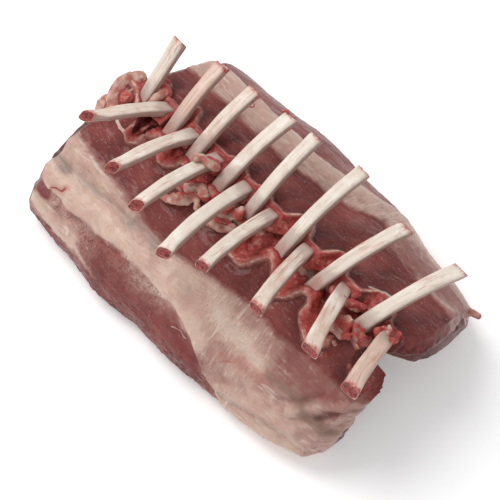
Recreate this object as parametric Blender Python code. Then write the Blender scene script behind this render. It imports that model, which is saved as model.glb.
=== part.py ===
"""Rack of lamb, raw, as a guard of honour: two trimmed racks of eight ribs each stand with
their meat on the table and lean together, and their bared ribs cross at the top. There the
meat of the far rack reaches over the ridge, in lobes that lie between the near rack's ribs.

Frame: +X along the racks, +Y from the near rack to the far one, +Z up, metres.
Each rack is one solid of meat, bent like the rib cage it came from. Its ribs are separate
solids, each let into its own socket in the top edge of the meat. Where the far rack's lobes
meet the near rack's meat and ribs, they are cut away with the same small gap.
Lengths below are in millimetres and angles in degrees, until metres() turns them.
"""
import math
from collections import namedtuple

import bmesh
import bpy
from mathutils import Vector

# ---- driving dimensions -------------------------------------------------------------
ARCH_CENTRE_OUT = -42.0      # centre of a rack's bend, measured outward from the middle
ARCH_CENTRE_Z = 3.0
INNER_RADIUS = 70.0          # hollow side of the bend, where the chest was
INNER_FOOT = 15.0            # how far the hollow side swells inward at the foot
RIB_RADIUS = 75.0            # middle of the ribs
TOP_HEIGHT = 62.0            # height of the top edge of the meat
FOOT_ANGLE = 92.0            # where the hollow side meets the table, from straight up
INNER_SWELL_FROM = 62.0      # angle where that swell begins
INNER_SWELL_ENDS = (-10, 30)  # it fades towards the cut ends, by distance from an end
LAST_BACK_ANGLE = 82.0       # where the back gives way to the rounded foot
LOIN_ANGLES = (45, 85)       # from the thin top to the full loin, where its bulges count
WAVE_HEIGHT = 0.9            # unevenness of the back
WAVE_LENGTH = 57.0
FOOT_ROUND = 11.0            # rounding of the outer bottom corner
FOOT_SPREAD = 1.5            # how far the foot spreads on the table
FOOT_TURNS = (8, 32, 58, 84)  # points round that corner, in degrees below the level
BASE_SHARES = (0.33, 0.67)   # points across the flat base
RIM_TURN = 1.2               # rounding of the two rims of the top edge
RIM_SHARES = (0.1, 0.5, 0.9)  # points across the cut top edge
HOLLOW_STEPS = 8             # points up the hollow side
BACK_STEPS = 11              # points down the back
BACK_SPACING = 0.9           # power below 1, which sets those points closer at the foot
END_ROUND = 6.0              # rounding of the two ends
STATIONS = 39                # cross-sections along a rack
SOCKET_ANGLE = 53.0          # how far down the ribs reach into the meat
SOCKET_GAP = 0.3             # clearance round a rib in its socket, and between the racks
NOTCH_HEADROOM = 9.0         # how far a notch is open above the rib that crosses in it
RIB_THICK = 5.8
RIB_SIDES = 10
RIB_RINGS = 9
RIB_SQUARENESS = 2.7         # exponent of the flattened oval, 2 is an ellipse
RIB_WAIST = 0.05             # how much narrower a rib is halfway
RIB_FLARE = 0.06             # how much wider it is at its sawn tip
LIFT_POWER = 1.3             # how late a lifted tip leaves the bend
SMOOTH_BELOW = 50.0          # edges sharper than this angle stay crisp

# How far the outer side stands off the hollow radius at an angle down the bend, from the
# thin top to the loin at the foot.
NEAR_THICKNESS = ((30, 9.0), (42, 10.0), (50, 14.0), (60, 24.0), (70, 36.0), (80, 46.0), (95, 50.0))
FAR_THICKNESS = ((30, 10.0), (42, 11.5), (50, 15.0), (60, 24.0), (70, 34.0), (80, 42.0), (95, 45.0))

# Ribs: where each leaves the meat along X, how its tip swings along X, how far the tip
# reaches over the other rack, how much it is lifted at the tip, and its width.
Rib = namedtuple("Rib", "root_x swing reach lift width")
NEAR_RIBS = (
    Rib(-97, -4, 26, 6, 7.6),
    Rib(-75, -4, 34, 0, 7.8),
    Rib(-57, -1, 37, 0, 7.8),
    Rib(-36, 1, 42, 0, 8.2),
    Rib(-16, -3, 42, 0, 7.6),
    Rib(9, 0, 47, 0, 8.0),
    Rib(34, 10, 42, 0, 8.0),
    Rib(63, 13, 46, 1, 8.4),
)
FAR_RIBS = (
    Rib(-85, -15, 39, 0, 8.4),
    Rib(-65, -5, 47, 0, 8.8),
    Rib(-47, 0, 51, 0, 8.8),
    Rib(-26, 6, 56, 0, 9.0),
    Rib(-7, 4, 46, 0, 8.2),
    Rib(18, 11, 40, 0, 8.4),
    Rib(45, 15, 35, 0, 8.6),
    Rib(75, 10, 34, -2, 9.0),
)

RACKS = {
    # side: -1 leans over from -Y, +1 from +Y. foot_ends and top_ends: where the meat is
    # cut along X, at the table and at the top edge.
    # lobe and valley: angles of the two rims of the cut top edge, on the hollow side and on
    # the back, beside a rib and between two ribs.
    # lobe_half: half the length of a lobe at full height, and lobe_fall its slope's length.
    # belly_at: where along X the loin bulges most, and belly_loss how fast it narrows.
    # reach: degrees that the rim on the hollow side reaches further over the ridge, at the
    # start and at the end.
    # fold: where a loose fold of the top edge stands up, and how many degrees higher.
    # wave_at: a crest of the back's unevenness along X.
    "near": dict(side=-1, foot_ends=(-117, 85), top_ends=(-113, 91), thickness=NEAR_THICKNESS,
                 ribs=NEAR_RIBS, lobe=(38.5, 41.0), valley=(43.5, 49.5), lobe_half=5.0,
                 lobe_fall=5.0, belly_at=-60, belly_loss=0.00100, reach=(0, 0), fold=(-104, -5.0),
                 wave_at=-48),
    "far": dict(side=1, foot_ends=(-105, 83), top_ends=(-106, 91), thickness=FAR_THICKNESS,
                ribs=FAR_RIBS, lobe=(31.0, 39.5), valley=(36.5, 45.0), lobe_half=6.5,
                lobe_fall=4.0, belly_at=-15, belly_loss=0.00115, reach=(3, -3), fold=(-104, 1.0),
                wave_at=22),
}

# Base colours of the two materials, linear RGB, and their roughness.
MEAT_COLOUR = (0.29, 0.085, 0.075, 1.0)
BONE_COLOUR = (0.70, 0.62, 0.50, 1.0)


# ---- small helpers ------------------------------------------------------------------
def metres(*values):
    return tuple(value / 1000 for value in values)


def smooth_step(low, high, value):
    share = min(max((value - low) / (high - low), 0.0), 1.0)
    return share * share * (3 - 2 * share)


def mix(first, second, share):
    return first + (second - first) * share


def read_curve(points, value):
    """Value on the line of straight runs through (position, value) pairs."""
    if value <= points[0][0]:
        return points[0][1]
    for (left, low), (right, high) in zip(points, points[1:]):
        if value <= right:
            return mix(low, high, (value - left) / (right - left))
    return points[-1][1]


def clear_scene():
    for item in list(bpy.data.objects):
        bpy.data.objects.remove(item, do_unlink=True)


def plain_material(name, colour, roughness):
    material = bpy.data.materials.new(name)
    material.use_nodes = True
    shader = material.node_tree.nodes["Principled BSDF"]
    shader.inputs["Base Color"].default_value = colour
    shader.inputs["Roughness"].default_value = roughness
    shader.inputs["Metallic"].default_value = 0.0
    return material


def loft(name, rings, material):
    """A closed solid through rings of equal length, with a flat face over each end."""
    shape = bmesh.new()
    loops = [[shape.verts.new(point) for point in ring] for ring in rings]
    count = len(rings[0])
    for first, second in zip(loops, loops[1:]):
        for i in range(count):
            j = (i + 1) % count
            shape.faces.new((first[i], first[j], second[j], second[i]))
    shape.faces.new(list(reversed(loops[0])))
    shape.faces.new(loops[-1])
    bmesh.ops.recalc_face_normals(shape, faces=shape.faces)
    mesh = bpy.data.meshes.new(name)
    shape.to_mesh(mesh)
    shape.free()
    mesh.materials.append(material)
    mesh.shade_smooth()
    mesh.set_sharp_from_angle(angle=math.radians(SMOOTH_BELOW))
    piece = bpy.data.objects.new(name, mesh)
    bpy.context.scene.collection.objects.link(piece)
    return piece


# ---- the bend that meat and ribs share ----------------------------------------------
def on_bend(side, x, angle, radius):
    """A point of a rack, by its angle from straight up and its radius from the bend's centre."""
    turn = math.radians(angle)
    outward = ARCH_CENTRE_OUT + radius * math.sin(turn)
    return x, side * outward, ARCH_CENTRE_Z + radius * math.cos(turn)


# ---- meat ---------------------------------------------------------------------------
def top_rims(rack, x):
    """Angles of the two rims of the cut top edge: lobes beside the ribs, valleys between."""
    def valley_share(lobe):
        return smooth_step(rack["lobe_half"], rack["lobe_half"] + rack["lobe_fall"], abs(x - lobe))

    fold_at, fold_turn = rack["fold"]
    valley = min(valley_share(lobe) for lobe in [rib.root_x for rib in rack["ribs"]] + [fold_at])
    lift = fold_turn * (1 - valley_share(fold_at))
    return [mix(low, high, valley) + lift for low, high in zip(rack["lobe"], rack["valley"])]


def meat_ring(rack, share, inset):
    """Outline of the meat at a share of its length: up the hollow, over the top, down the back."""
    side = rack["side"]
    x = mix(*rack["top_ends"], share)
    narrow = rack["belly_loss"] * (x - rack["belly_at"]) ** 2
    wave = WAVE_HEIGHT * math.cos(2 * math.pi * (x - rack["wave_at"]) / WAVE_LENGTH)
    inset_turn = math.degrees(inset / RIB_RADIUS)
    hollow_rim, back_rim = [rim + inset_turn for rim in top_rims(rack, x)]
    hollow_rim -= mix(*rack["reach"], share)

    from_end = min(share, 1 - share) * (rack["top_ends"][1] - rack["top_ends"][0])
    swell = INNER_FOOT * smooth_step(*INNER_SWELL_ENDS, from_end)

    def hollow(angle):
        return INNER_RADIUS - swell * smooth_step(INNER_SWELL_FROM, FOOT_ANGLE, angle) + inset

    def back(angle):
        loin = smooth_step(*LOIN_ANGLES, angle)
        return INNER_RADIUS + read_curve(rack["thickness"], angle) + (wave - narrow) * loin - inset

    polar = []
    for i in range(HOLLOW_STEPS):
        angle = mix(FOOT_ANGLE, hollow_rim + RIM_TURN, i / (HOLLOW_STEPS - 1))
        polar.append((angle, hollow(angle)))
    for across in RIM_SHARES:
        turn_share = smooth_step(*RIM_SHARES[::2], across)
        radius = mix(hollow(hollow_rim), back(back_rim), across)
        polar.append((mix(hollow_rim, back_rim, turn_share), radius))
    for i in range(BACK_STEPS):
        down = (i / (BACK_STEPS - 1)) ** BACK_SPACING
        angle = mix(back_rim + RIM_TURN, LAST_BACK_ANGLE, down)
        polar.append((angle, back(angle)))
    points = [on_bend(side, x, angle, radius) for angle, radius in polar]

    # The foot: round the outer bottom corner, then across the flat base.
    foot_out = abs(points[-1][1]) - FOOT_ROUND
    inner_foot = abs(points[0][1])
    points[0] = (x, points[0][1], inset)
    for turn in FOOT_TURNS:
        swing = math.radians(turn)
        out = foot_out + (FOOT_ROUND + FOOT_SPREAD) * math.cos(swing)
        points.append((x, side * out, inset + FOOT_ROUND * (1 - math.sin(swing))))
    for inward in BASE_SHARES:
        points.append((x, side * mix(foot_out, inner_foot, inward), inset))

    def slanted(point):
        foot_x = mix(*rack["foot_ends"], share)
        return mix(foot_x, x, min(point[2] / TOP_HEIGHT, 1.0)), point[1], point[2]

    return [slanted(point) for point in points]


def make_meat(name, rack, material, grow=0.0):
    start, end = rack["top_ends"]
    rings = []
    for i in range(STATIONS):
        share = i / (STATIONS - 1)
        near_end = min(share, 1 - share) * (end - start)
        inset = -grow
        if near_end < END_ROUND:
            inset += END_ROUND - math.sqrt(END_ROUND ** 2 - (END_ROUND - near_end) ** 2)
        rings.append([metres(*point) for point in meat_ring(rack, share, inset)])
    return loft(name, rings, material)


# ---- ribs ---------------------------------------------------------------------------
def rib_centre(rack, rib, angle):
    """A point on the middle line of a rib. Outside the meat it swings along X and may lift."""
    side = rack["side"]
    x, y, z = on_bend(side, rib.root_x, angle, RIB_RADIUS)
    travel = -side * y / rib.reach
    return Vector((x + rib.swing * travel, y, z + rib.lift * max(travel, 0.0) ** LIFT_POWER))


def make_rib(name, rack, rib, material, grow=0.0, headroom=0.0):
    """A flattened bone: its wide face follows the bend, its tip is sawn along the rack."""
    tip_angle = math.degrees(math.asin((-rib.reach - ARCH_CENTRE_OUT) / RIB_RADIUS))
    deep = SOCKET_ANGLE + math.degrees(grow / RIB_RADIUS)
    rings = []
    for i in range(RIB_RINGS):
        share = i / (RIB_RINGS - 1)
        angle = mix(deep, tip_angle, share)
        centre = rib_centre(rack, rib, angle)
        ahead = rib_centre(rack, rib, angle - 1.0)
        behind = rib_centre(rack, rib, angle + 1.0)
        along = (ahead - behind).normalized()
        across = Vector((1, 0, 0))
        across = (across - along * across.dot(along)).normalized()
        up = along.cross(across) * rack["side"]
        flare = 1.0 + RIB_FLARE * share ** 4 - RIB_WAIST * math.sin(math.pi * share)
        half_width = rib.width / 2 * flare + grow
        half_thick = RIB_THICK / 2 * flare + grow
        ring = []
        for k in range(RIB_SIDES):
            turn = 2 * math.pi * (k + 0.5) / RIB_SIDES
            c, s = math.cos(turn), math.sin(turn)
            size = (abs(c) ** RIB_SQUARENESS + abs(s) ** RIB_SQUARENESS) ** (-1 / RIB_SQUARENESS)
            raised = headroom if s > 0 else 0.0
            point = centre + across * (half_width * size * c) + up * (half_thick * size * s + raised)
            if i == RIB_RINGS - 1:
                point += along * ((centre.y - point.y) / along.y)
            ring.append(metres(*point))
        rings.append(ring)
    return loft(name, rings, material)


def cut_away(meat, cutter):
    cutter.hide_render = True
    cutter.display_type = "WIRE"
    cut = meat.modifiers.new(cutter.name, "BOOLEAN")
    cut.operation = "DIFFERENCE"
    cut.solver = "EXACT"
    cut.object = cutter


# ---- build --------------------------------------------------------------------------
def stand_at_origin(pieces):
    """Hang every object on one empty, which moves the middle of their base to the origin."""
    corners = [piece.matrix_world @ vertex.co for piece in pieces for vertex in piece.data.vertices]
    lowest = [min(corner[axis] for corner in corners) for axis in range(3)]
    highest = [max(corner[axis] for corner in corners) for axis in range(3)]
    middle = [(low + high) / 2 for low, high in zip(lowest, highest)]
    holder = bpy.data.objects.new("table_point", None)
    holder.location = (-middle[0], -middle[1], -lowest[2])
    bpy.context.scene.collection.objects.link(holder)
    for item in bpy.data.objects:
        if item.type == "MESH":
            item.parent = holder


def main():
    clear_scene()
    meat_finish = plain_material("meat", MEAT_COLOUR, 0.35)
    bone_finish = plain_material("bone", BONE_COLOUR, 0.45)
    meats = {name: make_meat(name + "_meat", rack, meat_finish) for name, rack in RACKS.items()}
    near_space = make_meat("cutter_near_meat", RACKS["near"], meat_finish, grow=SOCKET_GAP)
    cut_away(meats["far"], near_space)
    ribs = []
    for rack_name, rack in RACKS.items():
        for number, rib in enumerate(rack["ribs"], 1):
            rib_name = f"{rack_name}_rib_{number}"
            ribs.append(make_rib(rib_name, rack, rib, bone_finish))
            socket = make_rib("socket_" + rib_name, rack, rib, bone_finish, grow=SOCKET_GAP)
            cut_away(meats[rack_name], socket)
            if rack_name == "near":
                notch = make_rib("notch_" + rib_name, rack, rib, bone_finish, grow=SOCKET_GAP,
                                 headroom=NOTCH_HEADROOM)
                cut_away(meats["far"], notch)
    stand_at_origin(list(meats.values()) + ribs)


main()
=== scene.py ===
# %% [markdown]
# # A raw rack of lamb, dressed as a guard of honour
# Two trimmed racks stand on their loins and lean together until their bared ribs cross.
# The frame already holds their solids at the right size: one of meat for each rack and sixteen
# ribs. This file gives them their looks. The meat gets its silverskin, fat and cut edges,
# and the bones get their sawn ends and stains. Lengths are in millimetres until `metres` turns
# them, because a butcher's work is easiest to think of in millimetres.

# %% Load the fixed frame
import math

import bpy
import numpy as np
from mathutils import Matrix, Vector, noise
from mathutils.bvhtree import BVHTree
from mathutils.kdtree import KDTree


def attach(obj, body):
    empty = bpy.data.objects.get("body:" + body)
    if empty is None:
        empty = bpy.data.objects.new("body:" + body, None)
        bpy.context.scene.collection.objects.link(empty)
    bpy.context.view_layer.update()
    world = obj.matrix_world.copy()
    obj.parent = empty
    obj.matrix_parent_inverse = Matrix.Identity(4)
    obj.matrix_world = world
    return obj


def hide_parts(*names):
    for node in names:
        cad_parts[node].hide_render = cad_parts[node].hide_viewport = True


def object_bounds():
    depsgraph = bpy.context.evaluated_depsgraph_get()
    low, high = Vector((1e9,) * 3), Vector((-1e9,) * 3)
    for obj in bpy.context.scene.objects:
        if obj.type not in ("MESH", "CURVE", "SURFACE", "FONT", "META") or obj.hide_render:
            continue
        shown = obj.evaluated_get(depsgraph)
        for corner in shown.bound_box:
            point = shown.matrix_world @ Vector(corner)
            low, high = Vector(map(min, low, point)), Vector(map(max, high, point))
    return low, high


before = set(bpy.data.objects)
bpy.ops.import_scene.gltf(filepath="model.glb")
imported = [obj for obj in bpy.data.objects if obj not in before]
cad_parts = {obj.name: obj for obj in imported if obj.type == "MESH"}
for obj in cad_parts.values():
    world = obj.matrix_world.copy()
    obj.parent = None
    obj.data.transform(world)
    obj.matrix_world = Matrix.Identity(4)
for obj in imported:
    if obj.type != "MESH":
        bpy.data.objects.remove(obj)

cad_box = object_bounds()
print("frame", sorted(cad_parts))

# %% [markdown]
# ## Small helpers
# Colours are written as sRGB hex values, the way a paint chart gives them, and Blender's
# shaders want linear light, so one function turns them. One more function adds a shader node
# with its settings, values and links, so that each material reads as a recipe.

# %% Colours and shader nodes
def colour(hex_value):
    """Linear RGBA of an sRGB hex colour such as "#dcccbc"."""
    channels = [int(hex_value[i:i + 2], 16) / 255 for i in (1, 3, 5)]
    return [c / 12.92 if c <= 0.04045 else ((c + 0.055) / 1.055) ** 2.4 for c in channels] + [1.0]


def add(tree, kind, inputs=None, output=0, **settings):
    """Adds a shader node, sets its properties, fills or links its inputs, and gives an output."""
    item = tree.nodes.new("ShaderNode" + kind)
    for name, value in settings.items():
        setattr(item, name, value)
    for name, value in (inputs or {}).items():
        if isinstance(value, bpy.types.NodeSocket):
            tree.links.new(value, item.inputs[name])
        else:
            item.inputs[name].default_value = value
    return item.outputs[output]


def metres(*values):
    return Vector(value / 1000 for value in values)


# %% Numbers over a whole mesh
def smooth_step(low, high, value):
    """0 below low, 1 above high and a soft ramp between, on an array. It falls if low > high."""
    share = np.clip((value - low) / (high - low), 0.0, 1.0)
    return share * share * (3 - 2 * share)


def hump(value, middle, half):
    """A soft bump, 1 at the middle and gone about two halves away."""
    return np.exp(-((value - middle) / half) ** 2)


def lumps(points, size, seed):
    """Smooth noise from about -1 to 1 at points in mm. Its lumps are size mm across."""
    scaled = points / np.array(size) + 13.7 * seed
    return 1.4 * np.array([noise.noise(point) for point in scaled.tolist()])


# %% [markdown]
# ## Camera, floor and light
# The pair is seen from above its near side, past the thin end, with a long lens, so the ribs hardly
# taper with distance. A white sweep of floor and a big soft lamp overhead are what a food
# photographer uses for raw meat: soft shade between the ribs, and a wet gleam on the film.

# %% Camera
VIEW_AZIMUTH = math.radians(49.3)
VIEW_ELEVATION = math.radians(65.0)
VIEW_DISTANCE = 0.75
VIEW_TARGET = metres(1.2, -4.8, 30.0)
SENSOR_WIDTH = 36.0
FRAME_WIDTH = 0.2475          # what the frame takes in at the target

view_from = Vector((math.sin(VIEW_AZIMUTH) * math.cos(VIEW_ELEVATION),
                    -math.cos(VIEW_AZIMUTH) * math.cos(VIEW_ELEVATION),
                    math.sin(VIEW_ELEVATION)))
camera_data = bpy.data.cameras.new("camera")
camera_data.sensor_width = SENSOR_WIDTH
camera_data.lens = SENSOR_WIDTH * VIEW_DISTANCE / FRAME_WIDTH
camera = bpy.data.objects.new("camera", camera_data)
camera.location = VIEW_TARGET + view_from * VIEW_DISTANCE
camera.rotation_euler = (-view_from).to_track_quat("-Z", "Y").to_euler()
bpy.context.scene.collection.objects.link(camera)
bpy.context.scene.camera = camera
print("camera at", camera.location[:], "lens", round(camera_data.lens, 1))

# %% Floor and lamps
FLOOR_SIZE = 6.0
bpy.ops.object.select_all(action="DESELECT")
bpy.ops.mesh.primitive_plane_add(size=FLOOR_SIZE, location=(0, 0, cad_box[0].z))
floor = bpy.context.object
floor.name = "floor"
floor_finish = bpy.data.materials.new("white_paper_sweep")
floor_finish.use_nodes = True
paper = floor_finish.node_tree.nodes["Principled BSDF"]
paper.inputs["Base Color"].default_value = colour("#fcfcfb")
paper.inputs["Roughness"].default_value = 0.9
paper.inputs["Emission Color"].default_value = colour("#ffffff")
paper.inputs["Emission Strength"].default_value = 0.22
floor.data.materials.append(floor_finish)

LAMPS = (
    # name, direction it shines from, distance, width of the soft box, watts
    ("softbox_overhead", (-0.50, -0.05, 0.86), 1.3, 0.8, 9.8),
    ("softbox_front", (0.35, -0.85, 0.55), 1.5, 0.9, 2.6),
)
for lamp_name, shines_from, distance, width, watts in LAMPS:
    lamp_data = bpy.data.lights.new(lamp_name, "AREA")
    lamp_data.shape = "DISK"
    lamp_data.size = width
    lamp_data.energy = watts
    lamp = bpy.data.objects.new(lamp_name, lamp_data)
    lamp.location = Vector(shines_from).normalized() * distance
    lamp.rotation_euler = (-lamp.location).to_track_quat("-Z", "Y").to_euler()
    bpy.context.scene.collection.objects.link(lamp)

world = bpy.data.worlds.new("white_room")
world.use_nodes = True
sky = world.node_tree.nodes["Background"]
sky.inputs["Color"].default_value = colour("#fdfdff")
sky.inputs["Strength"].default_value = 0.50
bpy.context.scene.world = world
bpy.context.scene.view_settings.view_transform = "Standard"

# %% [markdown]
# ## The bend that everything follows
# A rack keeps the curve of the rib cage. Each side's ribs lie on one circle, so a place on a
# rack is best told by three numbers: how far along the rack it lies (x), how far down the
# curve from straight up (angle) and how far from the circle's middle (radius). The circle is
# measured from the ribs themselves, by least squares.

# %% Measure the bend of each rack
SIDES = {"near": -1, "far": 1}
STRAIGHT_RIBS = range(2, 8)   # the outer ribs lift a little off the circle
FIT_ROUNDS = 12


def node_points(node):
    """Corner points of a CAD node, in mm."""
    return 1000 * np.array([vertex.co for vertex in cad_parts[node].data.vertices])


def measure_bend(rack):
    """Middle (y, z) and radius of the circle through the ribs, made better in a few rounds."""
    points = np.concatenate([node_points(f"{rack}_rib_{number}") for number in STRAIGHT_RIBS])
    fit = np.array([-SIDES[rack] * 40.0, 0.0, 80.0])
    for _ in range(FIT_ROUNDS):
        y, z = points[:, 1] - fit[0], points[:, 2] - fit[1]
        radius = np.hypot(y, z)
        slopes = np.stack([y / radius, z / radius, np.ones(len(y))], axis=1)
        fit += np.linalg.lstsq(slopes, radius - fit[2], rcond=None)[0]
    return tuple(fit)


BEND = {rack: measure_bend(rack) for rack in SIDES}
for rack in SIDES:
    print(rack, "bend: middle y %.1f z %.1f, rib radius %.1f mm" % BEND[rack])


def on_bend(rack, points):
    """x, angle in degrees from straight up, and radius of points in mm."""
    middle_y, middle_z, _ = BEND[rack]
    outward = SIDES[rack] * (points[:, 1] - middle_y)
    upward = points[:, 2] - middle_z
    return points[:, 0], np.degrees(np.arctan2(outward, upward)), np.hypot(outward, upward)


def from_bend(rack, x, angle, radius):
    """The points in mm at places on the bend."""
    middle_y, middle_z, _ = BEND[rack]
    turn = np.radians(angle)
    y = middle_y + SIDES[rack] * radius * np.sin(turn)
    return np.stack([x, y, middle_z + radius * np.cos(turn)], axis=-1)


# %% [markdown]
# ## Working copies
# The frame's own meshes are never touched. Each is copied, and the copy's loose triangles are
# welded, before any modelling. Small functions select the copy, read its points as arrays and
# put them back.

# %% Copy, select, read and write a mesh
WELD = 0.00001


def select_only(piece):
    bpy.ops.object.select_all(action="DESELECT")
    piece.select_set(True)
    bpy.context.view_layer.objects.active = piece


def working_copy(node, name):
    piece = bpy.data.objects.new(name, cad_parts[node].data.copy())
    bpy.context.scene.collection.objects.link(piece)
    select_only(piece)
    bpy.ops.object.mode_set(mode="EDIT")
    bpy.ops.mesh.select_all(action="SELECT")
    bpy.ops.mesh.remove_doubles(threshold=WELD)
    bpy.ops.mesh.select_all(action="DESELECT")
    bpy.ops.object.mode_set(mode="OBJECT")
    return piece


def apply_modifier(piece, kind, **settings):
    select_only(piece)
    modifier = piece.modifiers.new(kind.lower(), kind)
    for name, value in settings.items():
        setattr(modifier, name, value)
    bpy.ops.object.modifier_apply(modifier=modifier.name)


def read_points(piece):
    """Points in mm and their normals, as two arrays."""
    count = len(piece.data.vertices)
    points = np.empty(count * 3, np.float32)
    normals = np.empty(count * 3, np.float32)
    piece.data.vertices.foreach_get("co", points)
    piece.data.vertex_normals.foreach_get("vector", normals)
    return 1000.0 * points.reshape(-1, 3).astype(float), normals.reshape(-1, 3).astype(float)


def write_points(piece, points):
    piece.data.vertices.foreach_set("co", (points / 1000).astype(np.float32).ravel())
    piece.data.update()


def keep_numbers(piece, **columns):
    """Stores arrays, one number per point, as attributes that a material can read."""
    for name, values in columns.items():
        attribute = piece.data.attributes.new(name, "FLOAT", "POINT")
        attribute.data.foreach_set("value", np.asarray(values, np.float32))


def keep_grain(piece, along, across):
    """Stores a UV map in mm, so that fibres can run along a piece."""
    layer = piece.data.uv_layers.new(name="grain")
    corners = np.empty(len(piece.data.loops), np.int32)
    piece.data.loops.foreach_get("vertex_index", corners)
    layer.data.foreach_set("uv", np.stack([along[corners], across[corners]], axis=1)
                           .astype(np.float32).ravel())


# %% [markdown]
# ## The meat of one rack
# On the real joint the meat grips each rib, with no gap. The CAD solid has a socket there. The
# walls of each socket are found by their nearness to the rib, deleted, and the mouths filled.
# A voxel remesh then gives an even skin of small faces, fine enough to carry fat, folds and
# film as real relief. A subdivision would only have smoothed the facets.

# %% Close the sockets and make an even skin
SOCKET_REACH = 0.00045        # a socket's walls stand 0.3 mm off the rib
SKIN_GRAIN = 0.00085          # size of the even faces
SKIN_SMOOTHING = 7


def rib_trees(rack):
    trees = []
    for number in range(1, 9):
        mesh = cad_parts[f"{rack}_rib_{number}"].data
        corners = [vertex.co for vertex in mesh.vertices]
        trees.append(BVHTree.FromPolygons(corners, [face.vertices for face in mesh.polygons]))
    return trees


def gap_to_ribs(trees, point, reach):
    """Distance in metres from a point to the nearest rib, or reach if none is nearer."""
    found = [tree.find_nearest(point, reach)[3] for tree in trees]
    return min([distance for distance in found if distance is not None] + [reach])


def close_sockets(piece, trees):
    for face in piece.data.polygons:
        spots = [piece.data.vertices[i].co for i in face.vertices] + [face.center]
        face.select = all(gap_to_ribs(trees, spot, 0.001) < SOCKET_REACH for spot in spots)
    walls = sum(face.select for face in piece.data.polygons)
    bpy.ops.object.mode_set(mode="EDIT")
    bpy.ops.mesh.delete(type="FACE")
    bpy.ops.mesh.select_mode(type="EDGE")
    bpy.ops.mesh.select_non_manifold(extend=False, use_wire=False, use_boundary=True,
                                     use_multi_face=False, use_non_contiguous=False, use_verts=False)
    bpy.ops.mesh.fill_holes(sides=0)
    bpy.ops.mesh.select_mode(type="VERT")
    bpy.ops.object.mode_set(mode="OBJECT")
    print(piece.name, "socket faces removed:", walls)


def even_skin(rack):
    piece = working_copy(f"{rack}_meat", f"{rack}_loin")
    close_sockets(piece, rib_trees(rack))
    apply_modifier(piece, "REMESH", mode="VOXEL", voxel_size=SKIN_GRAIN)
    apply_modifier(piece, "SMOOTH", factor=0.5, iterations=SKIN_SMOOTHING)
    print(piece.name, "faces:", len(piece.data.polygons))
    return piece


LOINS = {rack: even_skin(rack) for rack in SIDES}

# %% [markdown]
# ## Where fat, film and cut edges lie
# A butcher reads a rack in bands. From the ridge down: the red cut between the ribs, a strip
# of dark muscle, a band of pale fat and silverskin, the round loin under its film, and the
# trimmed foot. Each band's edge is a short line of (x, angle) points along the rack. Each
# point of the skin then gets its distance in mm from these lines, and the materials draw the
# edges from those distances, much finer than the mesh.

# %% Edges of the bands
BAND_TOP = {
    "near": ((-100, 57), (-79, 59), (-55, 60), (-24, 61), (-2, 60), (26, 56), (53, 56), (76, 54), (103, 52)),
    "far": ((-103, 52), (-71, 53), (-36, 53), (-8, 55), (12, 57), (26, 60), (37, 66), (50, 61), (84, 59)),
}
BAND_FOOT = {
    "near": ((-100, 73), (-69, 73), (-51, 71), (-34, 69), (-5, 70), (12, 71), (23, 75), (32, 79), (46, 86), (75, 96)),
    "far": ((-80, 67), (-43, 65), (-22, 65), (-1, 66), (13, 70), (24, 73), (34, 78), (50, 90), (90, 94)),
}
MM_PER_DEGREE = 1.5           # on the skin of the band


def band_edge(lines, rack, x):
    places, angles = zip(*lines[rack])
    return np.interp(x, places, angles)


def facing(rack, angle, normals):
    """How much each normal faces away from the bend's middle, and up towards the ridge."""
    turn = np.radians(angle)
    side = SIDES[rack]
    away = side * np.sin(turn) * normals[:, 1] + np.cos(turn) * normals[:, 2]
    ridgeward = -side * np.cos(turn) * normals[:, 1] + np.sin(turn) * normals[:, 2]
    return away, ridgeward


def soften(piece, values, times):
    """Averages numbers with their neighbours' along the mesh's edges."""
    ends = np.empty(len(piece.data.edges) * 2, np.int32)
    piece.data.edges.foreach_get("vertices", ends)
    first, second = ends.reshape(-1, 2).T
    count = len(values)
    degree = np.bincount(first, minlength=count) + np.bincount(second, minlength=count)
    for _ in range(times):
        total = np.bincount(first, values[second], count) + np.bincount(second, values[first], count)
        values = (values + total / degree) / 2
    return values


# %% Profile of the cut ends
PROFILE_STEP = 3.0


def end_profile(angle, radius, chosen):
    """Angles, and the hollow's and the back's radius at each, over the chosen points."""
    angles = np.arange(42.0, 93.0, PROFILE_STEP)
    inner, outer = [], []
    for middle in angles:
        ring = radius[chosen & (abs(angle - middle) < PROFILE_STEP)]
        inner.append(ring.min())
        outer.append(ring.max())
    return angles, inner, outer


# %% The cut top edge and its rim
RIM_REACH = 10.0
RIM_ANGLES = np.arange(42.0, 51.0, 1.0)
LAST_CUT_ANGLE = 51.5


def cut_share(x, angle, radius, away):
    """1 where the knife took the back's surface away near the ridge, found from how far each
    point lies below the line of the back."""
    middle = (abs(x) < 60) & (away > 0.3)
    outer = [np.quantile(radius[middle & (abs(angle - a) < 0.6)], 0.9) for a in RIM_ANGLES]
    back_line = np.polyval(np.polyfit(RIM_ANGLES, outer, 1), angle)
    below = smooth_step(1.2, 2.2, back_line - radius)
    return below * (angle < LAST_CUT_ANGLE) * smooth_step(-0.75, -0.35, away)


def rim_distance(points, cut, away):
    """Distance in mm to the outer rim of the cut top edge, up to RIM_REACH."""
    on_rim = np.flatnonzero((abs(cut - 0.5) < 0.25) & (away > 0.2))
    tree = KDTree(len(on_rim))
    for index in on_rim:
        tree.insert(points[index], int(index))
    tree.balance()
    high = points[:, 2] > points[on_rim, 2].min() - RIM_REACH
    distance = np.full(len(points), RIM_REACH)
    distance[high] = [min(tree.find(point)[2], RIM_REACH) for point in points[high].tolist()]
    return distance


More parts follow.
